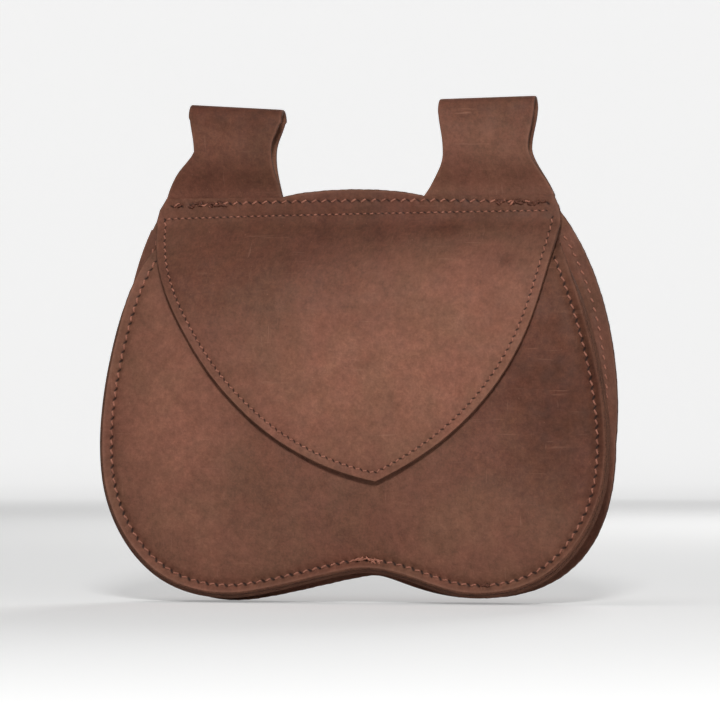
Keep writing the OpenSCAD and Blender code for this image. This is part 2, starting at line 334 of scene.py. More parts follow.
def front_face(x, z):
    """Depth of the panel's outer face: swollen inside the stitches, sunk at them, flared at its edge."""
    d = front_relief.read(front_relief.inside, x, z)
    lean = flare_angle(z)
    past = seam_inset * np.cos(lean) - d
    fade = 1 - ease(z, mouth_z - 24, mouth_z - 6)
    return (front_base(x, z) - np.tan(lean) * (np.sqrt(past ** 2 + 1.4) + past) / 2
            + 0.8 * fade * np.exp(-(past / 1.7) ** 2) + 0.12 * np.sin(x / 9.3 + z / 14.1) * np.sin(z / 11.7))


def face_normals(face, x, z, step=0.4):
    """Unit normals that point to the rear of a face given by its depth."""
    lean = np.stack([-(face(x + step, z) - face(x - step, z)) / (2 * step), np.ones_like(x),
                     -(face(x, z + step) - face(x, z - step)) / (2 * step)], 1)
    return lean / np.linalg.norm(lean, axis=1)[:, None]


def awl_slots(path, slant, half_length, half_width, depth):
    """Slits that a diamond awl made along a line of holes, each at a slant in degrees to the line."""
    along = np.gradient(path, axis=0)
    angle = np.arctan2(along[:, 1], along[:, 0]) + math.radians(slant)
    return np.column_stack([path, np.cos(angle), np.sin(angle),
                            np.tile([half_length, half_width, depth], (len(path), 1))])


def slot_mask(points, slots):
    """One in a slit and falling to nothing around it, and the depth that the slit's lips are pulled down."""
    mask, sunk = np.zeros(len(points)), np.zeros(len(points))
    for cx, cz, ux, uz, a, b, depth in slots:
        away = points - [cx, cz]
        near = np.flatnonzero((np.abs(away) < 4).all(1))
        p = (away[near] @ [ux, uz]) / a
        q = (away[near] @ [-uz, ux]) / b
        mask[near] = np.maximum(mask[near], np.exp(-(p ** 2 + q ** 2) ** 1.5))
        sunk[near] = np.maximum(sunk[near], depth * np.exp(-(p ** 2 / 2.2 + q ** 2 / 6)))
    return mask, sunk


def lay_out(outline, slots, rings, detail):
    """Points of a cut piece: its outline, lines that follow it, the slits, and an even filling."""
    side = inward(outline, True)
    points = [outline]
    for ring in rings:
        line = outline + side * ring
        points.append(line[edge_distance(line, outline) > ring * 0.97])
    low, high = outline.min(0), outline.max(0)
    filling = []
    for i, z in enumerate(np.arange(low[1], high[1], detail * 0.866)):
        across = np.arange(low[0] + (i % 2) * detail / 2, high[0], detail)
        filling.append(np.column_stack([across, np.full(len(across), z)]))
    filling = np.concatenate(filling)
    points.append(filling[edge_distance(filling, outline) > rings[-1] + detail * 0.55])
    kept = np.concatenate(points[1:])
    if len(slots):
        turn = np.linspace(0, 2 * math.pi, 9)[:-1]
        lips = np.column_stack([1.05 * np.cos(turn), np.sin(turn)])
        around_slit = np.column_stack([1.6 * np.cos(turn + 0.39), 2.3 * np.sin(turn + 0.39)])
        u, v = np.concatenate([[(0, 0), (-0.55, 0), (0.55, 0)], lips, around_slit]).T
        clear = np.ones(len(kept), bool)
        dense = []
        for cx, cz, ux, uz, a, b, _ in slots:
            away = kept - [cx, cz]
            p, q = (away @ [ux, uz]) / a, (away @ [-uz, ux]) / b
            clear &= ~((p / 2.0) ** 2 + (q / 3.4) ** 2 < 1)
            dense.append(np.column_stack([cx + u * a * ux - v * b * uz, cz + u * a * uz + v * b * ux]))
        dense = np.concatenate(dense)
        dense = dense[edge_distance(dense, outline) > 0.8]
        kept = np.concatenate([kept[clear], dense])
    return np.concatenate([outline, kept])


def cut_piece(name, outline, face, thickness, materials, slots=(), flush=None, layer=0,
              rings=(0.9, 1.9, 3.0, 4.3, 5.8, 7.6), detail=2.6, slots_behind=(), tone=None):
    """A piece of leather cut to an outline and laid on a face: grain in front, flesh behind, a cut edge with
    softened corners. Where flush is true the edge stays square, because another piece carries on there."""
    m = len(outline)
    outline_side = inward(outline, True)
    square = np.zeros(m, bool) if flush is None else flush(outline)
    inset = outline + outline_side * np.where(square, 0, corner_round)[:, None]
    both = [s for s in (slots, slots_behind) if len(s)]
    flat = lay_out(inset, np.concatenate(both) if both else (), rings, detail)
    mesh_flat, _, triangles, _, _, _ = delaunay_2d_cdt(
        [Vector(p) for p in flat.tolist()], [(i, (i + 1) % m) for i in range(m)], [], 1, 1e-6)
    flat = np.array([tuple(p) for p in mesh_flat])
    x, z = flat.T
    rear = face_normals(face, x, z)
    base = np.column_stack([x, face(x, z), z])
    mask, sunk = slot_mask(flat, slots)
    mask_behind, sunk_behind = slot_mask(flat, slots_behind)
    grain = base + rear * sunk[:, None]
    flesh = base + rear * (thickness - sunk_behind)[:, None]
    ox, oz = outline.T
    rim_rear = face_normals(face, ox, oz)
    rim_base = np.column_stack([ox, face(ox, oz), oz])
    rim_out = np.column_stack([-outline_side[:, 0], np.zeros(m), -outline_side[:, 1]])
    rough = 0.06 * np.sin(np.arange(m) * 1.7) + 0.05 * np.sin(np.arange(m) * 0.61 + 2)
    loops = []
    for depth, out in ((corner_depth, 0.0), (thickness / 2, edge_bulge), (thickness - corner_depth, 0.0)):
        push = np.where(square, 0, out + rough * (out > 0))
        loops.append(rim_base + rim_rear * depth + rim_out * push[:, None])
    points = np.concatenate([grain, flesh, *loops])
    n = len(flat)
    faces = [tuple(t) for t in triangles] + [tuple(n + i for i in t[::-1]) for t in triangles]
    kind = [0] * len(triangles) + [2] * len(triangles)
    ring_start = [0, 2 * n, 2 * n + m, 2 * n + 2 * m, n]
    for k in range(4):
        a, b = ring_start[k], ring_start[k + 1]
        faces += [(a + i, b + i, b + (i + 1) % m, a + (i + 1) % m) for i in range(m)]
        kind += [1] * m
    piece = add_mesh(name, points * mm, faces, materials, kind)
    rest = np.concatenate([np.column_stack([x, np.full(n, layer), z])] * 2
                          + [np.column_stack([ox, np.full(m, layer + k), oz]) for k in (0.4, 1.2, 2.0)])
    open_edge = outline[~square]
    d = np.concatenate([np.linalg.norm(group[:, None] - open_edge, axis=2).min(1)
                        for group in np.array_split(flat, 12)])
    shade = np.zeros(len(points)) if tone is None else tone(points[:, 0], points[:, 2])
    mark(piece, rest, np.concatenate([d, d, np.where(np.tile(square, 3), no_edge, 0.0)]),
         np.concatenate([mask, mask_behind, np.zeros(3 * m)]), shade)
    piece.data.set_sharp_from_angle(angle=crease)
    return piece


def mark(piece, rest, edge, hole, tone=None):
    """Each point's place on the flat hide, its distance from the cut edge, whether it is in a slit (painted dark
    as shade), and how far its colour is made paler (up to 1) or darker (down to -1): painted highlight and
    painted shade on the front panel and the flap, and on the loops a tone of their own that darkens towards
    their tops."""
    tone = np.zeros(len(rest)) if tone is None else tone
    for name, kind, values in (("rest", "FLOAT_VECTOR", rest * mm), ("edge", "FLOAT", edge),
                               ("hole", "FLOAT", hole), ("tone", "FLOAT", tone)):
        attribute = piece.data.attributes.new(name, kind, "POINT")
        attribute.data.foreach_set("vector" if kind == "FLOAT_VECTOR" else "value",
                                   np.asarray(values, np.float32).ravel())


# The finishes. Each is a node group that reads a point's place on the flat hide, so the leather's clouds and
# scratches stay with it when it folds.
def finish_group(name, inputs):
    """An empty finish, with its own inputs, that gives a colour, a roughness and a height."""
    tree = bpy.data.node_groups.new(name, "ShaderNodeTree")
    for socket, kind, value in inputs:
        made = tree.interface.new_socket(name=socket, in_out="INPUT", socket_type=kind)
        if value is not None:
            made.default_value = value
    for socket, kind in (("Color", "NodeSocketColor"), ("Roughness", "NodeSocketFloat"),
                         ("Height", "NodeSocketFloat")):
        tree.interface.new_socket(name=socket, in_out="OUTPUT", socket_type=kind)
    return tree, tree.nodes.new("NodeGroupInput").outputs, tree.nodes.new("NodeGroupOutput").inputs


def give(tree, put_out, colour, roughness, height):
    for name, value in (("Color", colour), ("Roughness", roughness), ("Height", height)):
        tree.links.new(value, put_out[name])


def mixed(tree, share, a, b, blend="MIX"):
    return add_node(tree, "ShaderNodeMix", {0: share, 6: a, 7: b}, data_type="RGBA",
                    blend_type=blend).outputs[2]


def ramp(tree, value, low, high, to_low=0.0, to_high=1.0):
    return add_node(tree, "ShaderNodeMapRange", {
        "Value": value, "From Min": low, "From Max": high, "To Min": to_low, "To Max": to_high}).outputs[0]


def math_of(tree, operation, a, b):
    return add_node(tree, "ShaderNodeMath", {0: a, 1: b}, operation=operation).outputs[0]


def product(tree, a, b):
    return math_of(tree, "MULTIPLY", a, b)


def shaded(tree, colour, amount):
    """A colour made lighter or darker by an amount that changes over the surface."""
    grey = add_node(tree, "ShaderNodeCombineColor", {0: amount, 1: amount, 2: amount}).outputs[0]
    return mixed(tree, 1.0, colour, grey, "MULTIPLY")


def noise(tree, place, scale, detail=3.0, roughness=0.5, distortion=0.0):
    return add_node(tree, "ShaderNodeTexNoise", {
        "Vector": place, "Scale": scale, "Detail": detail, "Roughness": roughness,
        "Distortion": distortion}).outputs["Fac"]


nubuck_finish, given, put_out = finish_group("oiled nubuck", [
    ("Place", "NodeSocketVector", None), ("Edge", "NodeSocketFloat", 10.0), ("Hole", "NodeSocketFloat", 0.0),
    ("Tone", "NodeSocketFloat", 0.0), ("Red brown", "NodeSocketColor", tint(113, 72, 57)),
    ("Olive brown", "NodeSocketColor", tint(105, 70, 54)), ("Pale wear and highlight", "NodeSocketColor", tint(152, 108, 88))])
tree = nubuck_finish
place = given["Place"]
patches = ramp(tree, noise(tree, place, 34, 4, 0.6, 0.4), 0.38, 0.64)
colour = mixed(tree, patches, given["Red brown"], given["Olive brown"])
clouds = product(tree, ramp(tree, noise(tree, place, 70, 5, 0.62), 0.3, 0.72, 0.85, 1.15),
                 ramp(tree, noise(tree, place, 330, 4, 0.65), 0.3, 0.7, 0.82, 1.18))
broad = ramp(tree, noise(tree, place, 9, 2, 0.5), 0.35, 0.65, 0.92, 1.08)
clouds = product(tree, clouds, broad)
colour = shaded(tree, colour, clouds)
nap = noise(tree, place, 900, 3, 0.7)
nap_tone = ramp(tree, nap, 0.25, 0.75, 0.82, 1.18)
colour = shaded(tree, colour, nap_tone)
# The tone attribute darkens the colour below nought and pales it above: painted shade and painted highlight on
# the front panel and the flap, and on the loops a darker tone towards their tops.
darkened_by_tone = ramp(tree, given["Tone"], -1, 0, 1.3, 1.0)
colour = add_node(tree, "ShaderNodeGamma", {"Color": colour, "Gamma": darkened_by_tone}).outputs[0]
paled = ramp(tree, given["Tone"], 0, 1, 1.0, 1.5)
colour = shaded(tree, colour, paled)
steep = add_node(tree, "ShaderNodeMapping", {
    "Vector": place, "Scale": (1, 1, 0.1), "Rotation": (0, 0.6, 0)}).outputs[0]
level = add_node(tree, "ShaderNodeMapping", {
    "Vector": place, "Scale": (0.07, 1, 1), "Rotation": (0, 0.2, 0)}).outputs[0]
scratch = math_of(tree, "MAXIMUM", ramp(tree, noise(tree, steep, 700, 2, 0.5, 0.6), 0.66, 0.74),
                  ramp(tree, noise(tree, level, 620, 2, 0.5, 0.6), 0.65, 0.74))
scuffed = ramp(tree, noise(tree, place, 45, 2, 0.5), 0.45, 0.7)
scratch = product(tree, scratch, scuffed)
colour = mixed(tree, product(tree, scratch, 0.4), colour, given["Pale wear and highlight"])
specks = add_node(tree, "ShaderNodeTexVoronoi", {"Vector": place, "Scale": 330.0}).outputs["Distance"]
speck = product(tree, ramp(tree, specks, 0.12, 0.05), ramp(tree, noise(tree, place, 150, 2), 0.55, 0.66))
colour = mixed(tree, product(tree, speck, 0.45), colour, given["Pale wear and highlight"])
# Paler within a millimetre or two of the cut edge: edge wear, and a painted highlight on the edge's rounded
# corner.
edge_wear_and_highlight = product(tree, ramp(tree, given["Edge"], 1.6, 0.1),
              ramp(tree, noise(tree, place, 240, 3), 0.3, 0.65, 0.35, 1.0))
colour = mixed(tree, product(tree, edge_wear_and_highlight, 0.28), colour, given["Pale wear and highlight"])
# The awl slits are painted nearly black: painted shade in the holes.
slit_painted_shade = ramp(tree, given["Hole"], 0.15, 0.75)
colour = mixed(tree, product(tree, slit_painted_shade, 0.93), colour, tint(34, 20, 15))
pebble = add_node(tree, "ShaderNodeTexVoronoi", {"Vector": place, "Scale": 700.0}).outputs["Distance"]
height = math_of(tree, "ADD", product(tree, nap, 0.5), product(tree, pebble, 0.25))
height = math_of(tree, "ADD", height, product(tree, noise(tree, place, 160, 4, 0.6), 0.8))
height = math_of(tree, "SUBTRACT", height, product(tree, scratch, 0.4))
give(tree, put_out, colour, ramp(tree, noise(tree, place, 120, 3), 0.3, 0.7, 0.62, 0.82), height)


def finished(title, group, values, bump_distance, bump_strength, attributes, sheen=0.0):
    """A material whose colour, roughness and height come from a finish, read at the hide's own places."""
    material = bpy.data.materials.new(title)
    material.use_nodes = True
    tree = material.node_tree
    inputs = {name: add_node(tree, "ShaderNodeAttribute", attribute_name=attribute).outputs[out]
              for name, (attribute, out) in attributes.items()}
    finish = add_node(tree, "ShaderNodeGroup", node_tree=group)
    for name, socket in inputs.items():
        tree.links.new(socket, finish.inputs[name])
    for name, value in values.items():
        finish.inputs[name].default_value = value
    shader = tree.nodes["Principled BSDF"]
    bump = add_node(tree, "ShaderNodeBump", {"Height": finish.outputs["Height"], "Distance": bump_distance,
                                             "Strength": bump_strength})
    tree.links.new(finish.outputs["Color"], shader.inputs["Base Color"])
    tree.links.new(finish.outputs["Roughness"], shader.inputs["Roughness"])
    tree.links.new(bump.outputs[0], shader.inputs["Normal"])
    shader.inputs["Specular IOR Level"].default_value = 0.25
    shader.inputs["Sheen Weight"].default_value = sheen
    shader.inputs["Sheen Roughness"].default_value = 0.5
    shader.inputs["Sheen Tint"].default_value = tint(225, 190, 170)
    return material


place_read = {"Place": ("rest", "Vector")}
hide_reads = {**place_read, "Edge": ("edge", "Fac"), "Hole": ("hole", "Fac"), "Tone": ("tone", "Fac")}
grain_side = finished("nubuck grain", nubuck_finish, {}, 0.0006, 0.4, hide_reads, 0.04)

# The cut edge's colours, given here, are darker than the grain: partly the fibres' own colour, partly painted
# shade for the shadow line under the flap's edge.
fibre_finish, given, put_out = finish_group("cut fibres", [
    ("Place", "NodeSocketVector", None), ("Core", "NodeSocketColor", tint(66, 40, 30)),
    ("Fuzz", "NodeSocketColor", tint(118, 77, 59))])
tree = fibre_finish
place = given["Place"]
fibres = noise(tree, place, 1300, 4, 0.7)
wide = noise(tree, place, 140, 3, 0.5)
share = math_of(tree, "ADD", ramp(tree, fibres, 0.35, 0.7, 0.0, 0.75), ramp(tree, wide, 0.35, 0.7, 0.0, 0.3))
give(tree, put_out, mixed(tree, share, given["Core"], given["Fuzz"]), ramp(tree, fibres, 0.3, 0.7, 0.8, 0.95),
     math_of(tree, "ADD", fibres, product(tree, wide, 0.6)))
cut_side = finished("cut edge", fibre_finish, {}, 0.0008, 0.6, place_read, 0.04)
flesh_side = finished("flesh side", fibre_finish, {
    "Core": tint(98, 62, 47), "Fuzz": tint(136, 96, 76)}, 0.0006, 0.5, place_read, 0.06)
leather_sides = [grain_side, cut_side, flesh_side]


def light_and_shade_spots(x, z, spots):
    """Soft pale or dark areas, painted highlights and painted shade: middle, reach and strength of each."""
    return sum(strength * np.exp(-((x - cx) / rx) ** 2 - ((z - cz) / rz) ** 2)
               for cx, cz, rx, rz, strength in spots)


# Painted light on the front panel: painted highlights on its left and on both lobes, painted shade down its
# right side and in the valley above the notch, and a few smaller pale and dark areas.
def front_painted_light(x, z):
    return light_and_shade_spots(x, z, [(-88, -128, 30, 50, 0.7), (58, -182, 48, 24, 0.6), (-62, -190, 30, 22, 0.25),
                            (-30, -185, 45, 22, 0.05), (98, -115, 34, 60, -0.85),
                            (6, -190, 26, 26, -0.35), (-50, -165, 20, 40, -0.3), (70, -140, 12, 10, 0.2)])


front_row = front_edge + inward(front_edge) * (seam_inset * np.cos(flare_angle(front_edge[:, 1])))[:, None]
front_holes = spaced(front_row[front_row[:, 1] < mouth_z - 7], seam_pitch)
front_panel = cut_piece("front_panel_leather", front_outline, front_face, leather, leather_sides,
                        awl_slots(front_holes, -30, 1.15, 0.52, 0.6), layer=10, tone=front_painted_light)
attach(front_panel, "pouch")
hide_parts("front_panel")


# The gusset. One long strip of thinner leather that runs from one end of the mouth round the lobes to the
# other. Its two edges turn outwards and lie flush with the panels' edges; between them it sinks inwards.
def closed_strip(name, rows, materials, kinds, place, edge, tone=None):
    """A closed shell from rows of points that each go once round the section, with a face at both ends."""
    count, ring = rows.shape[:2]
    faces = strip_faces(count, ring, True)
    kind = list(kinds) * (count - 1)
    for start in (0, (count - 1) * ring):
        end = start + ring - 1
        faces += [(start + k, start + k + 1, end - 1 - k, end - k) for k in range(ring // 2 - 1)]
        kind += [1] * (ring // 2 - 1)
    piece = add_mesh(name, rows.reshape(-1, 3) * mm, faces, materials, kind)
    mark(piece, place.reshape(-1, 3), edge.ravel(), np.zeros(count * ring),
         None if tone is None else tone.ravel())
    shell = bmesh.new()
    shell.from_mesh(piece.data)
    bmesh.ops.recalc_face_normals(shell, faces=shell.faces)
    shell.to_mesh(piece.data)
    shell.free()
    piece.data.set_sharp_from_angle(angle=crease)
    return piece


flank_z = bottom_z + 187.5
back_silhouette = spaced(joined(
    lobe(-122.5, [(124.5, bottom_z + 107.5), (122, bottom_z + 155.5), (103, flank_z)], 65, 0, 0.62, 11, 0.72),
    lobe(120.5, [(123.8, bottom_z + 107.5), (118, bottom_z + 155.5), (93.2, flank_z)], 54, 1.8, 0.66, 9, 0.52)),
    outline_step)
sewn_back = back_silhouette[back_silhouette[:, 1] < mouth_z + 9]
gusset_rows = 440
front_line, back_line = (spaced(path, np.linalg.norm(np.diff(path, axis=0), axis=1).sum() / (gusset_rows - 1))
                         for path in (front_edge, sewn_back))
front_in, back_in = inward(front_line), inward(back_line)
flange_steps = (0.0, 1.2, 2.6, 4.2, 5.8)
wall_inset = 7.6
turn_room = 1.3
wall_sink = 3.2
outer, inner = [], []
for d in flange_steps:
    x, z = (front_line + front_in * d).T
    rear = face_normals(front_face, x, z)
    on_panel = np.column_stack([x, front_face(x, z), z])
    outer.append(on_panel + rear * (leather + gusset_leather))
    inner.append(on_panel + rear * (leather + 0.02))
flange_y = outer[-1][:, 1]
run = np.arange(gusset_rows) * 1.4
pucker = 0.55 * np.sin(run / 7.3 + 1.2 * np.sin(run / 31)) + 0.35 * np.sin(run / 4.1 + 2)
for v in np.linspace(0, 1, 9):
    y = (flange_y + turn_room) * (1 - v) + (back_y - gusset_leather - turn_room) * v
    sink = wall_sink * math.sin(math.pi * v) + (0.35 + pucker) * math.sin(math.pi * v) ** 2
    line = (front_line + front_in * wall_inset) * (1 - v) + (back_line + back_in * wall_inset) * v
    turn_in = (front_in + back_in) / 2
    for layer_points, extra in ((outer, 0.0), (inner, gusset_leather)):
        flat = line + turn_in * (sink + extra)[:, None]
        depth = y - 0.9 * (1 - 2 * v) if extra and v in (0, 1) else y
        layer_points.append(np.column_stack([flat[:, 0], depth, flat[:, 1]]))
for d in flange_steps[::-1]:
    x, z = (back_line + back_in * d).T
    outer.append(np.column_stack([x, np.full(len(x), back_y - gusset_leather), z]))
    inner.append(np.column_stack([x, np.full(len(x), back_y - 0.02), z]))
section = np.stack(outer + inner[::-1], 1)
across = len(outer)
kinds = [0] * (across - 1) + [1] + [2] * (across - 1) + [1]
girth = np.linspace(0, 46, across)
gusset_place = np.zeros(section.shape)
gusset_place[..., 0] = np.concatenate([girth, girth[::-1]])[None]
gusset_place[..., 1] = 30 + np.repeat([0.0, gusset_leather], across)[None]
gusset_place[..., 2] = run[:, None]
from_edge = np.minimum(girth, girth[::-1])
gusset_edge = np.broadcast_to(np.concatenate([from_edge, from_edge])[None], section.shape[:2])
gusset = closed_strip("gusset_leather_strip", section, leather_sides, kinds, gusset_place, gusset_edge)
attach(gusset, "pouch")
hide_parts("gusset")


# The back panel. The same leather, cut a little taller, with a crown between the belt loops. It lies flat,
# its grain outwards, and carries all the rear ends of the stitches.
crown_rise = 3.5
root_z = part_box("yoke")[1].z / mm - crown_rise
inner_root = (-41.5, 28.4)
outer_root = (-98.8, 91.5)
crown = bezier((inner_root[1], root_z), (inner_root[1] * 0.4, root_z + crown_rise * 1.34),
               (inner_root[0] * 0.6, root_z + crown_rise * 1.34), (inner_root[0], root_z), 48)
back_top = 1.2
back_outline = spaced(joined(
    back_silhouette,
    np.array([[93.2, flank_z], [outer_root[1] - 1, root_z - back_top], [inner_root[1], root_z - back_top]]),
    crown - [0, back_top],
    np.array([[inner_root[0], root_z - back_top], [outer_root[0] + 1, root_z - back_top], [-103, flank_z]])),
    outline_step)[:-1]


def back_face(x, z):
    return np.full_like(np.asarray(x, float), back_y)


back_row = sewn_back + inward(sewn_back) * seam_inset
back_holes = spaced(back_row[back_row[:, 1] < mouth_z + 5], seam_pitch)
crown_row = bezier((-96, root_z - 3.8), (-40, root_z - 1.2), (40, root_z - 1.2), (88.8, root_z - 4.2), 60)
crown_holes = spaced(crown_row, crown_pitch)
fine_row = bezier((-99.4, root_z - 9.9), (-40, root_z - 8.4), (30, root_z - 8.0), (88.2, root_z - 7.7))
fine_holes = spaced(fine_row, fine_pitch)
behind = np.concatenate([awl_slots(back_holes, 38, 1.1, 0.4, 0.45),
                         awl_slots(crown_holes, 40, 1.1, 0.4, 0.45),
                         awl_slots(fine_holes, 40, 0.8, 0.35, 0.35)])
back_panel = cut_piece("back_panel_leather", back_outline, back_face, leather,
                       [flesh_side, cut_side, grain_side], slots_behind=behind, layer=50)
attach(back_panel, "pouch")
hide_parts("back_panel")


# The flap and the yoke. One piece of the hide hangs over the mouth and ends in a hand-cut point; above its
# fold it is the yoke, sewn to the back panel. The fold is just under the fine row, and the flap lifts there.
fold_z = flap_high[2]
flap_lining = 1.1
yoke_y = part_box("yoke")[0].y / mm
flap_corners = (-103.6, 95.2)
flap_point = (11.6, -159.8)
flap_right = bezier((flap_corners[1], fold_z), (93.5, -86), (70, -133), flap_point, 60)
flap_left = bezier((flap_corners[0], fold_z), (-93, -78), (-61, -145), flap_point, 60)
hang_y = flap_low[1] + 0.5
flap_gap = 0.9
rest_softness = 5
flap_seam_inset = 4.1
hide_step = 1.2
flap_profile = joined(
    np.array([[yoke_y, 20.0], [yoke_y, fold_z]]),
    bezier((yoke_y, fold_z), (yoke_y - 10, fold_z - 8), (hang_y, fold_z - 17), (hang_y, fold_z - 46)),
    np.array([[hang_y, -200.0]]))[::-1]
profile_step = 0.5
profile_z = np.arange(-190, 15, profile_step)
profile_y = np.interp(profile_z, flap_profile[:, 1], flap_profile[:, 0])
spread = np.exp(-(np.arange(-16, 17) * profile_step / 2.6) ** 2)
profile_y[20:-20] = np.convolve(profile_y, spread / spread.sum(), "same")[20:-20]


def pulled_back(x, z):
    """Where no loop's tail lies behind it, the yoke is drawn back to the panel by its stitches."""
    over_tails = ease(np.abs(x), 24, 32) * (1 - ease(np.abs(x), 90, 97))
    high = ease(z, root_z - 11, root_z - 4)
    return (leather * high + ease(z, fold_z - 8, root_z - 9) * (1 - high)) * (1 - over_tails)


def flap_face(x, z):
    """Depth of the flap's grain side: its own fold, blended softly into resting on the swollen front panel."""
    free = np.interp(z, profile_z, profile_y) + pulled_back(x, z)
    resting = front_base(x, z) - flap_gap - leather - flap_lining
    h = np.clip(0.5 + 0.5 * (resting - free) / rest_softness, 0, 1)
    lies = resting * (1 - h) + free * h - rest_softness * h * (1 - h)
    lower = ease(z, fold_z - 10, fold_z - 40)
    return lies + lower * (0.35 * np.sin(x / 15 + 0.8) * np.sin(z / 19) + 0.25 * np.sin((x - z) / 8.7))


def yoke_joins(points):
    """Where the hide carries on into the two belt straps."""
    x, z = points.T
    return (np.abs(z - root_z) < 0.01) & (((x > inner_root[1] - 0.6) & (x < outer_root[1] + 0.6))
                                          | ((x < inner_root[0] + 0.6) & (x > outer_root[0] - 0.6)))


def run_of(corners, step):
    """A line from corner to corner, with a point at each."""
    return joined(*(spaced(np.array(ends, float), step) for ends in zip(corners, corners[1:])))


right_edge = [(flap_corners[1], fold_z), (94.2, root_z - 5.5), (outer_root[1], root_z),
              (inner_root[1], root_z)]
left_edge = [(inner_root[0], root_z), (outer_root[0], root_z), (-102.2, root_z - 5.5),
             (flap_corners[0], fold_z)]
hide_outline = joined(
    spaced(flap_right, hide_step)[::-1], run_of(right_edge, hide_step), spaced(crown, hide_step),
    run_of(left_edge, hide_step), spaced(flap_left, hide_step))[:-1]
flap_line = joined(spaced(flap_left, hide_step / 2), spaced(flap_right, hide_step / 2)[::-1])
flap_row = flap_line + inward(flap_line) * flap_seam_inset
open_above = np.concatenate([flap_line, [[flap_corners[1], 10.0], [flap_corners[0], 10.0]]])
flap_row = flap_row[(edge_distance(flap_row, open_above) > 4.0) & (flap_row[:, 1] < fold_z + 0.5)]
flap_holes = spaced(flap_row, fine_pitch)
hide_slots = np.concatenate([awl_slots(crown_holes, -36, 1.2, 0.5, 0.5),
                             awl_slots(fine_holes, -34, 0.75, 0.34, 0.3),
                             awl_slots(flap_holes, -34, 0.95, 0.42, 0.45)])


# Painted light on the flap: a painted highlight over its middle and upper right, painted shade along the fold
# and over its upper left, and two small dark spots.
def flap_painted_light(x, z):
    return light_and_shade_spots(x, z, [(14, -108, 78, 44, 0.95), (62, -62, 40, 24, 0.4), (-60, -60, 60, 26, -0.55),
                            (20, -38, 90, 11, -0.5), (0, -26, 140, 7, -0.2), (73, -56, 5, 4.5, -0.7),
                            (40, -39, 8, 4, -0.5)])


flap = cut_piece("flap_and_yoke_leather", hide_outline, flap_face, leather, leather_sides, hide_slots,
                 flush=yoke_joins, layer=70, tone=flap_painted_light)
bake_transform(flap)
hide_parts("flap", "yoke")


# The flap's lining. A thin second layer glued and stitched to the flesh side, so that the flap is smooth and
# stiff from below. It starts behind the fine row and is trimmed just inside the flap's edge.
def lining_face(x, z):
    rear = face_normals(flap_face, x, z)
    return flap_face(x, z) + (leather + 0.03) / rear[:, 1]


lining_inset = 0.55
lining_step = 1.3
lining_line = flap_line + inward(flap_line) * lining_inset
lining_line = lining_line[edge_distance(lining_line, open_above) > 0.5]
lining_top = [lining_line[-1], (94.2, root_z - 6.6), (-102, root_z - 6.6), lining_line[0]]
lining_outline = joined(spaced(lining_line, lining_step), run_of(lining_top, lining_step))[:-1]
lining_grain = finished("lining grain", nubuck_finish, {
    "Red brown": tint(118, 77, 60), "Olive brown": tint(106, 73, 55)}, 0.0006, 0.4, hide_reads, 0.04)
lining = cut_piece("flap_lining_leather", lining_outline, lining_face, flap_lining,
                   [flesh_side, cut_side, lining_grain], slots_behind=awl_slots(flap_holes, 42, 0.8, 0.34, 0.3),
                   layer=90, detail=3.2)
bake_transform(lining)
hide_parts("flap_lining")


# The belt loops. Two straps, cut in one with the yoke, rise from its top edge, fold back over the belt and
# end in tails sewn between the yoke and the back panel. Each is waisted by hand, so their tops aren't level.
belt_room = 4.5
fold_reach = belt_room + leather


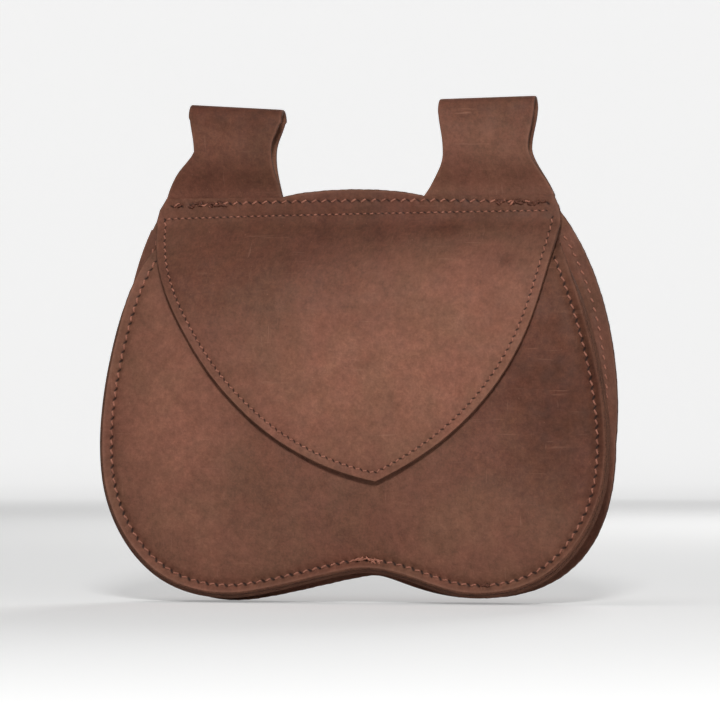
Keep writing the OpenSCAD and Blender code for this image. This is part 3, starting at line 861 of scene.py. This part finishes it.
def strap(name, outer_x, inner_x, shoulder, neck, top, top_height, top_slope, layer, shade):
    """A belt loop: points round its section, from the root up the front, over the fold and down the rear."""
    neck_z, top_z, straight_z = root_z + 21.5, root_z + 40, root_z + 25
    edges = []
    for root_x, neck_x, top_x, (low_pull, high_pull) in (
            (inner_x, neck[0], top[0], (0.62, -0.05)), (outer_x, neck[1], top[1], shoulder)):
        waist = neck_x - root_x
        curve = joined(bezier((root_x, root_z), (root_x + waist * low_pull, root_z + 9),
                              (neck_x - waist * high_pull, root_z + 15), (neck_x, neck_z)),
                       bezier((neck_x, neck_z), (neck_x, neck_z + 8), (top_x, top_z - 6), (top_x, top_z + 4)))
        edges.append((curve[:, 1], curve[:, 0]))
    n = 30
    share = np.concatenate([[0, 0.006, 0.02], np.linspace(0.05, 0.95, n - 6), [0.98, 0.994, 1]])
    middle = (top[0] + top[1]) / 2
    fold_start = top_height - fold_reach
    lean = bezier((yoke_y, root_z), (yoke_y - 0.4, root_z + 9), (-fold_reach, root_z + 11),
                  (-fold_reach, straight_z), 14)
    lean_at = np.linspace(0, 1, len(lean))
    rows = []
    for kind, count in (("root", 15), ("front", 12), ("fold", 17), ("rear", 22), ("tail", 6)):
        steps = count - 1 if kind in ("root", "tail") else count
        rows += [(kind, i / steps) for i in range(count)]
    out_points, in_points, places = [], [], []
    travelled = 0.0
    previous = None
    for kind, t in rows:
        height_z = {"root": np.interp(t, lean_at, lean[:, 1]),
                    "front": straight_z + (fold_start - straight_z) * t, "fold": top_z + 2,
                    "rear": fold_start + (root_z - fold_start) * t, "tail": root_z - 6.0 * t}[kind]
        low_x, high_x = (np.interp(height_z, *edge) for edge in edges)
        x = low_x + (high_x - low_x) * share
        crown_z = fold_start + top_slope * (x - middle)
        bow = 0.5 * np.sin(math.pi * share) * np.sin(math.pi * np.clip((height_z - root_z) / 44, 0, 1))
        if kind == "root":
            y, z = np.interp(t, lean_at, lean[:, 0]), height_z
            slope = np.gradient(lean, axis=0)[round(t * 14)]
            ny, nz = np.array([-slope[1], slope[0]]) / np.hypot(*slope) if t else (-1, 0)
        elif kind == "front":
            y, z, ny, nz = -fold_reach, straight_z + (crown_z - straight_z) * t, -1, 0
        elif kind == "fold":
            ny, nz = math.cos(math.pi * (1 - t)), math.sin(math.pi * (1 - t))
            y, z = fold_reach * ny, crown_z + fold_reach * nz
        elif kind == "rear":
            y, z, ny, nz = fold_reach, crown_z + (root_z - crown_z) * t, 1, 0
        else:
            y, z, ny, nz = fold_reach, height_z, 1, 0
        y, z, ny, nz = (value + np.zeros(n) for value in (y, z, ny, nz))
        outside = np.column_stack([x, y - bow if kind in ("root", "front") else y, z])
        normal = np.column_stack([np.zeros_like(x), ny, nz])
        corner = np.zeros_like(x)
        corner[[0, -1]] = 0.3
        corner[[1, -2]] = 0.08
        inside = outside - normal * (leather - corner)[:, None]
        outside = outside - normal * corner[:, None]
        if t == 0 and kind == "root":
            outside = np.column_stack([x, y, z])
            inside = outside - normal * leather
        here = np.array([y.mean(), z.mean()])
        travelled += 0 if previous is None else float(np.linalg.norm(here - previous))
        previous = here
        out_points.append(outside)
        in_points.append(inside)
        places.append(np.column_stack([x, np.full_like(x, layer), np.full_like(x, root_z + travelled)]))
    out_points, in_points, places = np.array(out_points), np.array(in_points), np.array(places)
    ring = np.concatenate([out_points, in_points[:, ::-1]], 1)
    place = np.concatenate([places, places[:, ::-1] + [0, leather, 0]], 1)
    width = np.abs(places[:, :, 0] - places[:, :1, 0])
    near_edge = np.minimum(width, width[:, -1:] - width)
    near_edge = np.concatenate([near_edge, near_edge[:, ::-1]], 1)
    kinds = [0] * (n - 1) + [1] + [2] * (n - 1) + [1]
    tone = shade - 0.5 * ease(ring[..., 2], root_z + 26, root_z + 44)
    return closed_strip(name, ring, leather_sides, kinds, place, near_edge, tone)


for name, turning, outer_x, inner_x, shoulder, neck, top, height, slope, layer, shade, nodes in [
        ("left_belt_strap", "left_loop", outer_root[0], inner_root[0], (0.15, 0.32), (-44.9, -83.1),
         (-39.8, -85.7), 20.8, -0.068, 110, -0.3, ("left_belt_loop", "left_loop_tail")),
        ("right_belt_strap", "right_loop", outer_root[1], inner_root[1], (0.35, 0.1), (39.2, 80.4),
         (36.9, 83.4), 23.6, 0.018, 140, 0.15, ("right_belt_loop", "right_loop_tail"))]:
    loop = strap(name, outer_x, inner_x, shoulder, neck, top, height, slope, layer, shade)
    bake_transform(loop)
    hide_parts(*nodes)


# The stitching. Every row is saddle stitched by hand with waxed two-ply thread, rosy tan, that dives into an
# awl slit at each end of a stitch and has pulled the leather down around it.
def thread_rows(starts, ends, out, radius, lift):
    """Points, faces and places of short stitches between pairs of points, standing above the leather."""
    share = np.array([0, 0.05, 0.14, 0.28, 0.42, 0.58, 0.72, 0.86, 0.95, 1])
    climb = [-1, -0.3, 0.5 * lift, 0.92 * lift, lift]
    rise = np.array(climb + climb[::-1])
    turn = np.linspace(0, 2 * math.pi, 11)[:-1]
    along = ends - starts
    length = np.linalg.norm(along, axis=1)[:, None]
    tangent = along / length
    side = np.cross(out, tangent)
    side /= np.linalg.norm(side, axis=1)[:, None]
    up = np.cross(tangent, side)
    centre = starts[:, None] + along[:, None] * share[:, None] + up[:, None] * rise[:, None]
    lay = turn[None, None] - (share[None, :, None] * length[:, None] / radius) * 0.9
    ply = radius * (0.80 + 0.24 * np.abs(np.cos(lay)))
    points = centre[:, :, None] + ply[..., None] * (np.cos(turn)[:, None] * side[:, None, None]
                                                    + np.sin(turn)[:, None] * up[:, None, None])
    n, k, m = points.shape[:3]
    one = strip_faces(k, m, True) + [tuple(range(m))[::-1], tuple((k - 1) * m + i for i in range(m))]
    faces = [tuple(s * k * m + i for i in f) for s in range(n) for f in one]
    place = np.zeros(points.shape)
    place[..., 0] = share[None, :, None] * length[:, None] + np.arange(n)[:, None, None] * 11.3
    # The second place is how high the ply stands; the thread's finish paints shade into the grooves where it is
    # low.
    place[..., 1] = np.abs(np.cos(lay))
    place[..., 2] = turn[None, None] * radius
    return points.reshape(-1, 3), faces, place.reshape(-1, 3)


thread_finish, given, put_out = finish_group("waxed thread", [
    ("Place", "NodeSocketVector", None), ("Light", "NodeSocketColor", tint(184, 124, 102)),
    ("Dark", "NodeSocketColor", tint(112, 67, 53))])
tree = thread_finish
place = given["Place"]
parts = add_node(tree, "ShaderNodeSeparateXYZ", {0: place})
# The thread is painted darker in the grooves between its plies, which is painted shade, and darker where it is
# soiled.
ply_groove_shade = ramp(tree, parts.outputs[1], 0.0, 0.00045)
soiled = ramp(tree, noise(tree, place, 90, 2), 0.35, 0.68)
strands = noise(tree, place, 2600, 2, 0.6)
tone = product(tree, product(tree, ply_groove_shade, ramp(tree, soiled, 0, 1, 1.0, 0.45)),
               ramp(tree, strands, 0.3, 0.7, 0.7, 1.0))
give(tree, put_out, mixed(tree, tone, given["Dark"], given["Light"]),
     ramp(tree, soiled, 0, 1, 0.5, 0.72), strands)
rosy_thread = finished("rosy waxed thread", thread_finish, {}, 0.0002, 0.5, place_read, 0.1)
brown_thread = finished("soiled thread", thread_finish, {
    "Light": tint(112, 68, 52), "Dark": tint(50, 29, 22)}, 0.0002, 0.5, place_read, 0.05)


def on_face(face, flat, rear_side=0.0):
    """Points on a face and the directions out of the leather there; rear_side is the depth to its other face."""
    x, z = flat.T
    rear = face_normals(face, x, z)
    points = np.column_stack([x, face(x, z), z])
    return (points + rear * rear_side, rear) if rear_side else (points, -rear)


def sew(name, holes, face, nodes=(), lift=0.2, radius=0.4, cover=0.54, slant=0.42, rear_side=0.0,
        blended=False):
    """One row of stitches from hole to hole, as one piece."""
    a, b = holes[:-1], holes[1:]
    gap = (b - a) * (1 - cover) / 2
    across = np.column_stack([-(b - a)[:, 1], (b - a)[:, 0]])
    across = across / np.linalg.norm(across, axis=1)[:, None] * slant * (-1 if rear_side else 1)
    start_flat, end_flat = a + gap - across, b - gap + across
    start, _ = on_face(face, start_flat, rear_side)
    end, _ = on_face(face, end_flat, rear_side)
    _, out = on_face(face, (a + b) / 2, rear_side)
    points, faces, place = thread_rows(start, end, out, radius, lift)
    row = add_mesh(name, points * mm, faces, [rosy_thread])
    mark(row, place, np.zeros(len(points)), np.zeros(len(points)))
    if blended:
        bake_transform(row)
    else:
        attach(row, "pouch")
    if nodes:
        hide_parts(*nodes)


sew("front_seam_stitches", front_holes, front_face, ("front_seam_thread_left", "front_seam_thread_right"))
sew("back_seam_stitches", back_holes, lambda x, z: back_face(x, z) - gusset_leather,
    ("back_seam_thread_left", "back_seam_thread_right"))
sew("back_seam_stitches_rear", back_holes, back_face, rear_side=leather, lift=0.02)
sew("crown_stitches", crown_holes[3:-3], flap_face, ("yoke_seam_thread",), cover=0.5, slant=0.75, lift=0.2)
sew("crown_stitches_rear", crown_holes, back_face, rear_side=leather, lift=0.02)
sew("fine_stitches", fine_holes, flap_face, ("fine_row_thread",), cover=0.42, slant=0.12, lift=0.1, radius=0.3)
sew("fine_stitches_rear", fine_holes, back_face, rear_side=leather, lift=0.0, radius=0.32, cover=0.6)
sew("flap_stitches", flap_holes, flap_face, ("flap_thread_left", "flap_thread_right"), cover=0.5, slant=0.36,
    lift=0.14, radius=0.34, blended=True)
sew("flap_stitches_below", flap_holes, lining_face, rear_side=flap_lining, cover=0.6, slant=0.3, lift=0.1,
    radius=0.34, blended=True)


def tack(name, path, face, nodes, count, spread, seed, thread, radius=0.42):
    """Where a thread ends, it is sewn back and forth over its last stitches in a small tangle."""
    chance = np.random.default_rng(seed)
    at = np.linspace(0, 1, len(path))
    points, faces, places = [], [], []
    for k in range(count):
        middle = chance.uniform(0.08, 0.92)
        half = chance.uniform(0.9, 1.7)
        centre = np.array([np.interp(middle, at, path[:, i]) for i in (0, 1)])
        centre += [0, chance.uniform(-spread, spread)]
        angle = chance.uniform(0.15, 0.8) * (1 if k % 2 else -1)
        away = half * np.array([math.cos(angle), math.sin(angle)])
        start, _ = on_face(face, (centre - away)[None])
        end, _ = on_face(face, (centre + away)[None])
        _, out = on_face(face, centre[None])
        p, f, q = thread_rows(start, end, out, radius, 0.18 + 0.5 * k / count)
        first = sum(len(made) for made in points)
        faces += [tuple(first + i for i in corners) for corners in f]
        points.append(p)
        places.append(q + [k * 9.7, 0, 0])
    points, places = np.concatenate(points), np.concatenate(places)
    knot = add_mesh(name, points * mm, faces, [thread])
    mark(knot, places, np.zeros(len(points)), np.zeros(len(points)))
    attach(knot, "pouch")
    if nodes:
        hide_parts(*nodes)


for side, stretch, node in (("left", crown_row[:11], "left_end_tack"),
                            ("right", crown_row[-11:], "right_end_tack")):
    tack(f"{side}_crown_tack", stretch, flap_face, (node,), 20, 1.0, len(side), brown_thread, 0.5)
    tack(f"{side}_crown_tack_ends", stretch, flap_face, (), 4, 0.9, len(side) + 2, rosy_thread)
notch_stretch = front_row[(np.abs(front_row[:, 0] - notch_x - 2) < 8) & (front_row[:, 1] < bottom_z + 40)]
tack("notch_tack", notch_stretch, front_face, ("front_seam_tack",), 17, 0.7, 13, rosy_thread)
joined_stretch = front_row[(np.abs(front_row[:, 0] - 63) < 2.6) & (front_row[:, 1] < bottom_z + 40)]
tack("right_lobe_tack", joined_stretch, front_face, (), 5, 0.5, 17, brown_thread)
